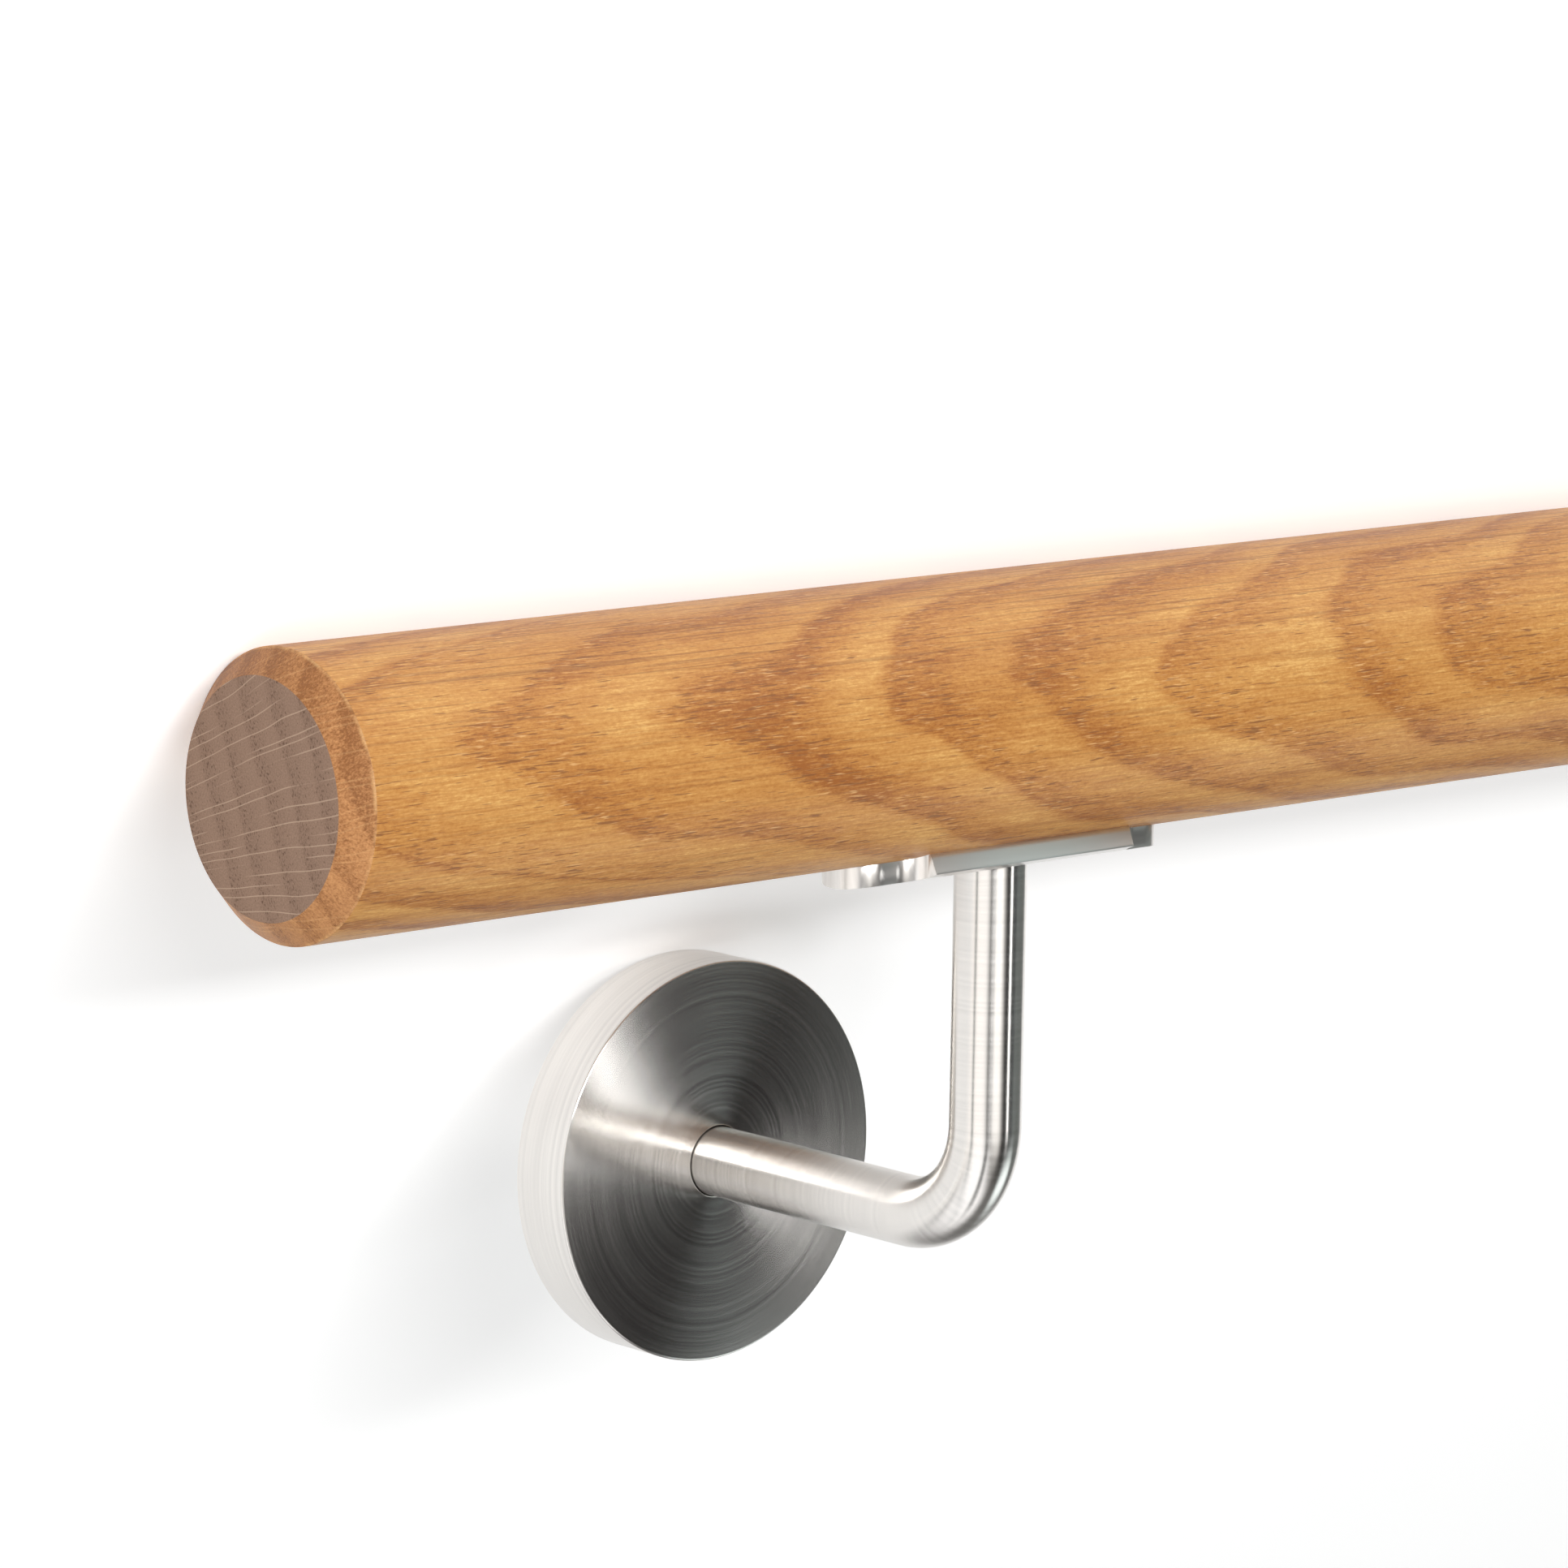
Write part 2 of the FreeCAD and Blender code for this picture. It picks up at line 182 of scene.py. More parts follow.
class Graph:
    """Adds shader nodes to one tree and joins them, with sockets or plain values as inputs."""

    def __init__(self, tree):
        self.tree = tree
        tree.nodes.clear()

    def add(self, kind, inputs=None, **settings):
        node = self.tree.nodes.new(kind)
        for name, value in settings.items():
            setattr(node, name, value)
        for key, value in (inputs or {}).items():
            if isinstance(value, bpy.types.NodeSocket):
                self.tree.links.new(value, node.inputs[key])
            else:
                node.inputs[key].default_value = value
        return node

    def math(self, operation, first, second=0.0):
        return self.add("ShaderNodeMath", {0: first, 1: second}, operation=operation).outputs[0]

    def plus(self, first, second):
        return self.math("ADD", first, second)

    def minus(self, first, second):
        return self.math("SUBTRACT", first, second)

    def times(self, first, second):
        return self.math("MULTIPLY", first, second)

    def over(self, first, second):
        return self.math("DIVIDE", first, second)

    def shift(self, noise, amount):
        """A noise value as a change to both sides of zero, times an amount."""
        return self.times(self.minus(noise, NOISE_MIDDLE), amount)

    def dot(self, vector, direction):
        node = self.add("ShaderNodeVectorMath", {0: vector, 1: direction}, operation="DOT_PRODUCT")
        return node.outputs["Value"]

    def length(self, vector):
        return self.add("ShaderNodeVectorMath", {0: vector}, operation="LENGTH").outputs["Value"]

    def scaled(self, vector, factors):
        node = self.add("ShaderNodeVectorMath", {0: vector, 1: factors}, operation="MULTIPLY")
        return node.outputs["Vector"]

    def moved(self, vector, offset):
        node = self.add("ShaderNodeVectorMath", {0: vector, 1: offset}, operation="ADD")
        return node.outputs["Vector"]

    def combined(self, x, y, z):
        return self.add("ShaderNodeCombineXYZ", {0: x, 1: y, 2: z}).outputs[0]

    def noise(self, vector, detail=2.0, roughness=0.5):
        inputs = {"Vector": vector, "Scale": 1.0, "Detail": detail, "Roughness": roughness}
        return self.add("ShaderNodeTexNoise", inputs).outputs["Fac"]

    def cell(self, value):
        """A fixed number from 0 to 1 for each whole number."""
        return self.add("ShaderNodeTexWhiteNoise", {"W": value}, noise_dimensions="1D").outputs["Value"]

    def ramp(self, value, start, end, low=0.0, high=1.0):
        inputs = {"Value": value, "From Min": start, "From Max": end, "To Min": low, "To Max": high}
        return self.add("ShaderNodeMapRange", inputs, interpolation_type="SMOOTHSTEP").outputs["Result"]

    def colours(self, value, stops):
        node = self.add("ShaderNodeValToRGB", {"Fac": value})
        elements = node.color_ramp.elements
        while len(elements) < len(stops):
            elements.new(NEW_STOP_PLACE)
        for element, (place, colour) in zip(elements, stops.items()):
            element.position = place
            element.color = (*colour, 1)
        return node.outputs["Color"]

    def mix(self, factor, first, second):
        inputs = {0: factor, FIRST_COLOUR: colour_value(first), SECOND_COLOUR: colour_value(second)}
        return self.add("ShaderNodeMix", inputs, data_type="RGBA").outputs[MIXED_COLOUR]


def colour_value(value):
    return (*value, 1) if isinstance(value, tuple) else value


# Curve between display colours and linear ones
DISPLAY_WHITE = 255
STRAIGHT_END = 0.04045
STRAIGHT_SLOPE = 12.92
CURVE_OFFSET = 0.055
CURVE_POWER = 2.4


def linear(red, green, blue):
    """A display colour of 0 to 255 as the linear colour that the shaders take."""
    result = []
    for channel in (red, green, blue):
        share = channel / DISPLAY_WHITE
        if share <= STRAIGHT_END:
            result.append(share / STRAIGHT_SLOPE)
        else:
            result.append(((share + CURVE_OFFSET) / (1 + CURVE_OFFSET)) ** CURVE_POWER)
    return tuple(result)


def new_material(name):
    material = bpy.data.materials.new(name)
    material.use_nodes = True
    return material, Graph(material.node_tree)


def output_surface(graph, colour, roughness, normal, **sockets):
    inputs = {"Base Color": colour, "Roughness": roughness, "Normal": normal}
    for key, value in sockets.items():
        inputs[key.replace("_", " ").title().replace("Ior", "IOR")] = value
    shader = graph.add("ShaderNodeBsdfPrincipled", inputs)
    graph.add("ShaderNodeOutputMaterial", {"Surface": shader.outputs[0]})


# Oak: growth rings lean a little along the rail, so their cuts on the round make nested arches
RING_RISE = math.radians(18)
RING_NORMAL = (0, -math.cos(RING_RISE), math.sin(RING_RISE))
RING_ACROSS = (0, math.sin(RING_RISE), math.cos(RING_RISE))
PITH_DISTANCE = 95
RING_SPACING = 6.5
RING_LEAN = 0.18
RING_DRIFT = 18
RING_WAVE = 2.4
RING_FRAY = 1.5

# Lengths along the grain and widths across it of the marks in the wood
FIBRE_SIZE = (9, 0.45)
HAIR_SIZE = (3.5, 0.24)
PORE_SIZE = (4.5, 0.3)
DRIFT_SIZE = (75, 60)
WAVE_SIZE = (26, 8)
BEND_SIZE = (60, 14)
STREAK_SIZE = (70, 1.7)
CLOUD_SIZE = (34, 13)
SPECK_SIZE = (0.9, 0.4)
LINE_SIZE = (45, 0.5)
FLECK_GLINT_SIZE = (3, 0.3)
MOTTLE_SIZE = (3, 0.5)
# Breaks in the painted highlight along the chamfer's rim
HIGHLIGHT_BREAK_SIZE = (math.inf, 6)
END_GRAIN_SIZE = (1, 0.3)

# Pores on the cut ends: sizes towards the pith, round it and along the grain
END_PORE_DEPTH = 0.28
END_PORE_ACROSS = 0.6
END_PORE_LENGTH = 4.5

# Offsets that keep like noises apart
WAVE_OFFSET = (7, 3, 5)
FLECK_GLINT_OFFSET = (11, 2, 9)

# Shares of a ring's width where its porous wood is full and gone, and where that of the next ring sets in
EARLY_FULL = 0.02
EARLY_GONE = 0.74
NEXT_EARLY_START = 0.84
NEXT_EARLY_FULL = 1.0

# Noise values where a mark starts to show and where it is full
PORE_FADE = (0.68, 0.76)
LINE_FADE = (0.55, 0.7)
FLECK_GLINT_FADE = (0.58, 0.76)
# Fade of the breaks in the painted highlight along the chamfer's rim
HIGHLIGHT_BREAK_FADE = (0.4, 0.62)
END_PORE_FADE = (0.68, 0.78)

# What the porous wood of a ring adds to the noise of the pores
PORE_EARLY_HELP = 0.1
END_PORE_EARLY_HELP = 0.13

# Rays: how far each strays in its row, the room it keeps there, the step to the next noise, and its fade
RAY_STRAY = 0.7
RAY_ROOM = 0.15
RAY_STRIDE = 3.7
RAY_FADE = 0.14

# Relief of pores and fibres
PORE_BUMP_DEPTH = 0.05
OAK_BUMP_STRENGTH = 0.6
FIBRE_BUMP_SHARE = 0.35

# Colours of the wood
OAK_DARK = linear(154, 92, 39)
OAK_MIDDLE = linear(187, 128, 63)
OAK_LIGHT = linear(204, 150, 82)
OAK_BRIGHT = linear(218, 169, 99)
PORE_COLOUR = linear(128, 80, 42)
# Pale fibre colour, also used for painted highlights
PALE_FIBRE_AND_HIGHLIGHT = linear(236, 190, 130)
CHAMFER_DARK = linear(134, 84, 43)
CHAMFER_MIDDLE = linear(178, 124, 76)
CHAMFER_LIGHT = linear(200, 146, 94)
# Grey-brown of the ends: partly the end grain's own colour, partly painted shade
END_GRAIN_AND_SHADE_DARK = linear(119, 93, 76)
END_GRAIN_AND_SHADE_LIGHT = linear(153, 125, 106)
END_PORE = linear(92, 68, 54)
RAY_PALE = linear(194, 167, 144)


class Oak:
    """The solid texture of the rail's wood: values at a point that every cut through it shares."""

    def __init__(self, graph):
        self.graph = graph
        lying = graph.add("ShaderNodeTexCoord").outputs["Object"]
        inputs = {
            "Vector": lying, "Location": rail_centre,
            "Rotation": turn.to_euler(), "Scale": (MM, MM, MM),
        }
        self.point = graph.add("ShaderNodeMapping", inputs, vector_type="TEXTURE").outputs[0]
        self.along = graph.dot(self.point, LENGTHWISE)
        self.depth = graph.dot(self.point, RING_NORMAL)
        self.across = graph.dot(self.point, RING_ACROSS)
        self.fibre = self.grain(FIBRE_SIZE)
        self.phase = self.ring_phase()
        self.early = self.early_wood()
        self.pores = self.pore_mask()

    def grain(self, size, detail=2, roughness=0.5, offset=None):
        """Noise whose marks have the given length along the grain and width across it."""
        length, width = size
        place = self.graph.scaled(self.point, (1 / length, 1 / width, 1 / width))
        if offset:
            place = self.graph.moved(place, offset)
        return self.graph.noise(place, detail, roughness)

    def ring_phase(self):
        """Rings counted from the pith, with the share of the ring's width behind the point."""
        graph = self.graph
        from_pith = graph.combined(graph.plus(self.depth, PITH_DISTANCE), self.across, 0.0)
        distance = graph.length(from_pith)
        drift = graph.shift(self.grain(DRIFT_SIZE, detail=1), RING_DRIFT)
        wave = graph.shift(self.grain(WAVE_SIZE, offset=WAVE_OFFSET), RING_WAVE)
        fray = graph.shift(self.fibre, RING_FRAY)
        lean = graph.times(self.along, RING_LEAN)
        bent = graph.plus(graph.plus(drift, wave), fray)
        return graph.over(graph.plus(graph.plus(distance, lean), bent), RING_SPACING)

    def early_wood(self):
        """One in the porous wood at the start of each ring, fading towards its end."""
        graph = self.graph
        share = graph.math("FRACT", self.phase)
        fading = graph.ramp(share, EARLY_FULL, EARLY_GONE, low=1.0, high=0.0)
        onset = graph.ramp(share, NEXT_EARLY_START, NEXT_EARLY_FULL)
        return graph.math("MAXIMUM", fading, onset)

    def pore_mask(self):
        graph = self.graph
        helped = graph.plus(self.grain(PORE_SIZE, detail=1), graph.times(self.early, PORE_EARLY_HELP))
        return graph.ramp(helped, *PORE_FADE)

    def ray_lines(self, spacing, width, reach, bend=4.0, seldom=0.42):
        """Thin sheets through the pith and along the grain, each seen only over part of its reach."""
        graph = self.graph
        spread = graph.over(graph.plus(self.depth, PITH_DISTANCE), PITH_DISTANCE)
        fan = graph.over(self.across, spread)
        place = graph.plus(fan, graph.times(self.grain(BEND_SIZE, detail=1), bend))
        rows = graph.over(place, spacing)
        number = graph.math("FLOOR", rows)
        stray = graph.plus(graph.times(graph.cell(number), RAY_STRAY), RAY_ROOM)
        offset = graph.minus(graph.math("FRACT", rows), stray)
        line = graph.ramp(graph.math("ABSOLUTE", offset), 0.0, width / spacing, low=1.0, high=0.0)
        stretch = graph.combined(
            graph.times(self.along, 1 / reach),
            graph.times(self.depth, 1 / reach),
            graph.times(number, RAY_STRIDE),
        )
        shown = graph.ramp(graph.noise(stretch, detail=1), seldom, seldom + RAY_FADE)
        return graph.times(line, shown)

    def bump(self):
        height = self.graph.minus(self.graph.times(self.fibre, FIBRE_BUMP_SHARE), self.pores)
        inputs = {"Strength": OAK_BUMP_STRENGTH, "Distance": PORE_BUMP_DEPTH * MM, "Height": height}
        return self.graph.add("ShaderNodeBump", inputs).outputs["Normal"]


# Round side of the rail: its tones, from 0 for the darkest to 1, and the share of each kind of mark in them
SIDE_TONE = 0.67
SIDE_RING_LEAST = 0.14
SIDE_RING_VARIETY = 0.4
SIDE_CLOUD = 0.75
SIDE_STREAK = 0.45
SIDE_FIBRE = 0.35
SIDE_HAIR = 0.8
SIDE_SPECK = 0.85
# Share of the pale fibre flecks, partly painted highlight
SIDE_FLECK_GLINT = 0.55
SIDE_RAY = 0.28
SIDE_PORE = 0.75
SIDE_STOPS = {0.0: OAK_DARK, 0.45: OAK_MIDDLE, 0.8: OAK_LIGHT, 1.0: OAK_BRIGHT}
SIDE_SMOOTH = 0.38
SIDE_ROUGH = 0.52

# Long dark lines are stronger near the top of the rail, where the rings are cut edge-on
LINE_RISE_START = 8
LINE_RISE_END = 20
LINE_SHARE_FRONT = 0.24
LINE_SHARE_TOP = 0.55


def oak_side_tone(oak):
    graph = oak.graph
    number = graph.math("FLOOR", oak.phase)
    strength = graph.plus(graph.times(graph.cell(number), SIDE_RING_VARIETY), SIDE_RING_LEAST)
    tone = graph.minus(SIDE_TONE, graph.times(oak.early, strength))
    tone = graph.plus(tone, graph.shift(oak.grain(CLOUD_SIZE), SIDE_CLOUD))
    tone = graph.plus(tone, graph.shift(oak.grain(STREAK_SIZE), SIDE_STREAK))
    tone = graph.plus(tone, graph.shift(oak.fibre, SIDE_FIBRE))
    tone = graph.plus(tone, graph.shift(oak.grain(HAIR_SIZE, detail=1), SIDE_HAIR))
    return graph.plus(tone, graph.shift(oak.grain(SPECK_SIZE, roughness=0.7), SIDE_SPECK))


def oak_side_colour(oak):
    graph = oak.graph
    colour = graph.colours(oak_side_tone(oak), SIDE_STOPS)
    # Pale fibre flecks in the porous wood: partly the fibres' own colour, partly painted highlight
    flecks_and_glints = graph.ramp(oak.grain(FLECK_GLINT_SIZE, detail=1, offset=FLECK_GLINT_OFFSET), *FLECK_GLINT_FADE)
    colour = graph.mix(graph.times(flecks_and_glints, graph.times(oak.early, SIDE_FLECK_GLINT)), colour, PALE_FIBRE_AND_HIGHLIGHT)
    lines = graph.ramp(oak.grain(LINE_SIZE, detail=1), *LINE_FADE)
    height = graph.dot(oak.point, UPRIGHT)
    edge_on = graph.ramp(height, LINE_RISE_START, LINE_RISE_END, LINE_SHARE_FRONT, LINE_SHARE_TOP)
    colour = graph.mix(graph.times(lines, edge_on), colour, PORE_COLOUR)
    rays = oak.ray_lines(spacing=2.6, width=0.22, reach=9)
    colour = graph.mix(graph.times(rays, SIDE_RAY), colour, OAK_DARK)
    return graph.mix(graph.times(oak.pores, SIDE_PORE), colour, PORE_COLOUR)


def oak_side_material():
    material, graph = new_material("oak_side")
    oak = Oak(graph)
    roughness = graph.ramp(oak.fibre, NOISE_LOW, NOISE_HIGH, SIDE_SMOOTH, SIDE_ROUGH)
    output_surface(graph, oak_side_colour(oak), roughness, oak.bump(), specular_ior_level=0.45)
    return material


# Chamfers of the rail
CHAMFER_TONE = 0.45
CHAMFER_MOTTLE = 0.9
CHAMFER_EARLY = 0.2
CHAMFER_HAIR = 0.8
CHAMFER_RAY = 0.16
CHAMFER_PORE = 0.5
CHAMFER_STOPS = {0.1: CHAMFER_DARK, 0.5: CHAMFER_MIDDLE, 0.9: CHAMFER_LIGHT}
CHAMFER_SMOOTH = 0.42
CHAMFER_ROUGH = 0.58

# Painted shade and light: the chamfer is painted darker high on the rail and paler low on it
CHAMFER_LOW = -14
CHAMFER_HIGH = 12
CHAMFER_LOW_PAINTED_LIGHT = 0.12
CHAMFER_HIGH_PAINTED_SHADE = -0.1

# Painted highlight: the rim between chamfer and side is painted paler, here and there
EDGE_HIGHLIGHT_START = RAIL_RADIUS - 0.5
EDGE_HIGHLIGHT_END = RAIL_RADIUS - 0.1
EDGE_HIGHLIGHT_SHARE = 0.45


def oak_chamfer_material():
    """Wood cut at a slant across the grain: darker, with short strokes and mottling, painted shade high on
    the rail and a painted highlight along its rim.
    """
    material, graph = new_material("oak_chamfer")
    oak = Oak(graph)
    mottle = oak.grain(MOTTLE_SIZE, detail=3, roughness=0.6)
    tone = graph.plus(CHAMFER_TONE, graph.shift(mottle, CHAMFER_MOTTLE))
    tone = graph.minus(tone, graph.times(oak.early, CHAMFER_EARLY))
    tone = graph.plus(tone, graph.shift(oak.grain(HAIR_SIZE, detail=1), CHAMFER_HAIR))
    height = graph.dot(oak.point, UPRIGHT)
    # Painted shade high on the chamfer, painted light low on it
    shade = graph.ramp(height, CHAMFER_LOW, CHAMFER_HIGH, CHAMFER_LOW_PAINTED_LIGHT, CHAMFER_HIGH_PAINTED_SHADE)
    tone = graph.plus(tone, shade)
    colour = graph.colours(tone, CHAMFER_STOPS)
    rays = oak.ray_lines(spacing=1.2, width=0.2, reach=12)
    colour = graph.mix(graph.times(rays, CHAMFER_RAY), colour, PALE_FIBRE_AND_HIGHLIGHT)
    colour = graph.mix(graph.times(oak.pores, CHAMFER_PORE), colour, PORE_COLOUR)
    radius = graph.length(graph.scaled(oak.point, CROSSWISE))
    # Painted highlight along the rounded rim, broken here and there by noise
    edge_highlight = graph.ramp(radius, EDGE_HIGHLIGHT_START, EDGE_HIGHLIGHT_END, 0.0, EDGE_HIGHLIGHT_SHARE)
    highlight_breaks = graph.ramp(oak.grain(HIGHLIGHT_BREAK_SIZE, detail=3, roughness=0.7), *HIGHLIGHT_BREAK_FADE)
    colour = graph.mix(graph.times(edge_highlight, highlight_breaks), colour, PALE_FIBRE_AND_HIGHLIGHT)
    roughness = graph.ramp(mottle, NOISE_LOW, NOISE_HIGH, CHAMFER_SMOOTH, CHAMFER_ROUGH)
    output_surface(graph, colour, roughness, oak.bump(), specular_ior_level=0.3)
    return material


# Ends of the rail
END_TONE = 0.62
END_GRAIN = 1.6
END_EARLY = 0.14
END_PORE_SHARE = 0.75
END_RAY = 0.65
END_STOPS = {0.1: END_GRAIN_AND_SHADE_DARK, 0.9: END_GRAIN_AND_SHADE_LIGHT}
END_SMOOTH = 0.6
END_ROUGH = 0.75


def oak_end_material():
    """Wood cut square across the grain: grey-brown, partly from the end grain and partly painted shade,
    with open pores, faint rings and pale rays.
    """
    material, graph = new_material("oak_end")
    oak = Oak(graph)
    grain = oak.grain(END_GRAIN_SIZE, detail=3, roughness=0.7)
    tone = graph.plus(END_TONE, graph.shift(grain, END_GRAIN))
    tone = graph.minus(tone, graph.times(oak.early, END_EARLY))
    colour = graph.colours(tone, END_STOPS)
    spots = graph.combined(
        graph.times(oak.depth, 1 / END_PORE_DEPTH),
        graph.times(oak.across, 1 / END_PORE_ACROSS),
        graph.times(oak.along, 1 / END_PORE_LENGTH),
    )
    helped = graph.plus(graph.noise(spots, detail=1), graph.times(oak.early, END_PORE_EARLY_HELP))
    colour = graph.mix(graph.ramp(helped, *END_PORE_FADE, 0.0, END_PORE_SHARE), colour, END_PORE)
    rays = oak.ray_lines(spacing=1.9, width=0.14, reach=22, bend=2.0, seldom=0.36)
    colour = graph.mix(graph.times(rays, END_RAY), colour, RAY_PALE)
    roughness = graph.ramp(grain, NOISE_LOW, NOISE_HIGH, END_SMOOTH, END_ROUGH)
    output_surface(graph, colour, roughness, oak.bump(), specular_ior_level=0.2)
    return material


# Stainless steel, brushed along V of the brush map
STEEL = (0.78, 0.755, 0.725)
BRUSH_LINE_WIDTH = 0.8
BRUSH_PATCH_WIDTH = 3
BRUSH_PATCH_LENGTH = 30
BRUSH_PATCH_SHARE = 0.3
BRUSH_DARK_TONE = 0.32
BRUSH_LIGHT_TONE = 0.68
BRUSH_LIGHT_SHARE = 0.6
SMOOTH_TONE = 0.3
ROUGH_TONE = 0.7
SMOOTHER_BY = 0.015
ROUGHER_BY = 0.02
SCRATCH_DEPTH = 0.004
SCRATCH_STRENGTH = 0.03


def steel_material(name, roughness, spread, contrast):
    """Satin steel whose fine scratches spread reflections across themselves."""
    material, graph = new_material(name)
    place = graph.add("ShaderNodeUVMap", uv_map=BRUSH_MAP).outputs["UV"]
    lines = graph.noise(graph.scaled(place, (1 / BRUSH_LINE_WIDTH, 0, 1)), roughness=0.6)
    patches = graph.noise(graph.scaled(place, (1 / BRUSH_PATCH_WIDTH, 1 / BRUSH_PATCH_LENGTH, 1)))
    tone = graph.plus(lines, graph.shift(patches, BRUSH_PATCH_SHARE))
    dark = tuple(channel * (1 - contrast) for channel in STEEL)
    light = tuple(channel * (1 + contrast * BRUSH_LIGHT_SHARE) for channel in STEEL)
    colour = graph.colours(tone, {BRUSH_DARK_TONE: dark, BRUSH_LIGHT_TONE: light})
    rough = graph.ramp(tone, SMOOTH_TONE, ROUGH_TONE, roughness - SMOOTHER_BY, roughness + ROUGHER_BY)
    scratches = {"Strength": SCRATCH_STRENGTH, "Distance": SCRATCH_DEPTH * MM, "Height": lines}
    bump = graph.add("ShaderNodeBump", scratches)
    tangent = graph.add("ShaderNodeTangent", direction_type="UV_MAP", uv_map=BRUSH_MAP)
    output_surface(
        graph, colour, rough, bump.outputs["Normal"],
        metallic=1.0, anisotropic=spread, tangent=tangent.outputs[0],
    )
    return material


# Rail with softened chamfers, whose rounds run out into narrow ledges on the end and the side
RAIL_SEGMENTS = 256
RAIL_RINGS = 40
RAIL_EDGE_ROUND = 0.35
END_LEDGE = 1
SIDE_LEDGE = 2
MIDDLE_START = 5
END_RING_SHARES = (0.02, 0.35, 0.7)

# Angles from the rail's axis within which a face looks if it is part of an end or of a chamfer
SQUARE_WITHIN = 20
SLANTED_WITHIN = 70


def rail_mesh():
    shoulder = END_CHAMFER - RAIL_HALF
    end_radius = RAIL_RADIUS - END_CHAMFER
    ledge_radius = end_radius - END_LEDGE
    left_end = rounded_profile(
        [
            (-RAIL_HALF, ledge_radius), (-RAIL_HALF, end_radius),
            (shoulder, RAIL_RADIUS), (shoulder + SIDE_LEDGE, RAIL_RADIUS),
        ],
        [RAIL_EDGE_ROUND, RAIL_EDGE_ROUND],
    )
    middle_start = shoulder + MIDDLE_START
    middle = [Vector((x, RAIL_RADIUS)) for x in np.linspace(middle_start, -middle_start, RAIL_RINGS)]
    left_face = [Vector((-RAIL_HALF, share * ledge_radius)) for share in END_RING_SHARES]
    left = left_face + left_end
    right = [Vector((-point.x, point.y)) for point in reversed(left)]
    angles = angles_round(RAIL_SEGMENTS)
    rings = []
    for x, radius in left + middle + right:
        rings.append([(x, radius * math.cos(a), radius * math.sin(a)) for a in angles])
    return ringed_mesh("oak_rail", rings, capped=True)


def make_rail():
    mesh = rail_mesh()
    for material in (oak_side_material(), oak_chamfer_material(), oak_end_material()):
        mesh.materials.append(material)
    side, chamfer, end = range(len(mesh.materials))
    square = math.cos(math.radians(SQUARE_WITHIN))
    slanted = math.cos(math.radians(SLANTED_WITHIN))
    for face in mesh.polygons:
        lean = abs(face.normal.x)
        face.material_index = end if lean > square else chamfer if lean > slanted else side
    add_piece(mesh, "rail")


# Bent support rods
ROD_SEGMENTS = 96
BEND_STEPS = 32
STRAIGHT_STEPS = 6
SEAT_ROOM = 1
ROD_SHARP_ANGLE = 50


def rod_path():
    """Centre points and directions of the rod from the saddle plate down and back to the wall flange."""
    bend_top = BEND_RADIUS - ARM_DROP
    wall_end = WALL_DISTANCE - FLANGE_THICKNESS
    points = []
    for z in np.linspace(-PLATE_RADIUS - SEAT_ROOM, bend_top, STRAIGHT_STEPS):
        points.append(((0, 0, z), (0, 0, -1)))
    for angle in np.linspace(0, math.pi / 2, BEND_STEPS + 1)[1:]:
        y = BEND_RADIUS * (1 - math.cos(angle))
        z = bend_top - BEND_RADIUS * math.sin(angle)
        points.append(((0, y, z), (0, math.sin(angle), -math.cos(angle))))
    for y in np.linspace(BEND_RADIUS, wall_end, STRAIGHT_STEPS)[1:]:
        points.append(((0, y, -ARM_DROP), SIDEWAYS))
    return points


def rod_mesh(name):
    """The rod as rings round its path, the first of them laid on the round of the saddle plate."""
    side = Vector(LENGTHWISE)
    angles = angles_round(ROD_SEGMENTS)
    rings = []
    for centre, direction in rod_path():
        front = Vector(direction).cross(side)
        ring = [Vector(centre) + ROD_RADIUS * (math.cos(a) * side + math.sin(a) * front) for a in angles]
        rings.append([tuple(point) for point in ring])
    seat = [(x, y, -math.sqrt(PLATE_RADIUS**2 - y**2)) for x, y, z in rings[0]]
    return ringed_mesh(name, [seat] + rings[1:], capped=True)


# Cover rosettes
ROSETTE_SEGMENTS = 192
ROSETTE_FRONT_ROUND = 0.5
ROSETTE_INNER_ROUND = 0.5
ROSETTE_SOFT_ROUND = 0.25
ROSETTE_FINE_ROUND = 0.1


def rosette_mesh(name):
    """A turned cup with soft edges, open to the wall."""
    back = WALL_DISTANCE
    front = WALL_DISTANCE - ROSETTE_HEIGHT
    bore = ROD_RADIUS + ROD_CLEARANCE
    inside = ROSETTE_RADIUS - ROSETTE_WALL
    lip = front + ROSETTE_WALL
    seam = (lip, (bore + inside) / 2)
    corners = [
        seam, (lip, bore), (front, bore), (front, ROSETTE_RADIUS),
        (back, ROSETTE_RADIUS), (back, inside), (lip, inside), seam,
    ]
    rounds = [
        ROSETTE_FINE_ROUND, ROSETTE_SOFT_ROUND, ROSETTE_FRONT_ROUND,
        ROSETTE_SOFT_ROUND, ROSETTE_FINE_ROUND, ROSETTE_INNER_ROUND,
    ]
    angles = angles_round(ROSETTE_SEGMENTS)
    rings = []
    for y, radius in rounded_profile(corners, rounds):
        rings.append([(radius * math.cos(a), y, radius * math.sin(a) - ARM_DROP) for a in angles])
    return ringed_mesh(name, rings)


# Plates, flanges and screws keep their nodes' shapes, with soft edges
JOIN_DISTANCE = 0.001
SOFT_EDGE = 0.2
SOFT_EDGE_STEPS = 2


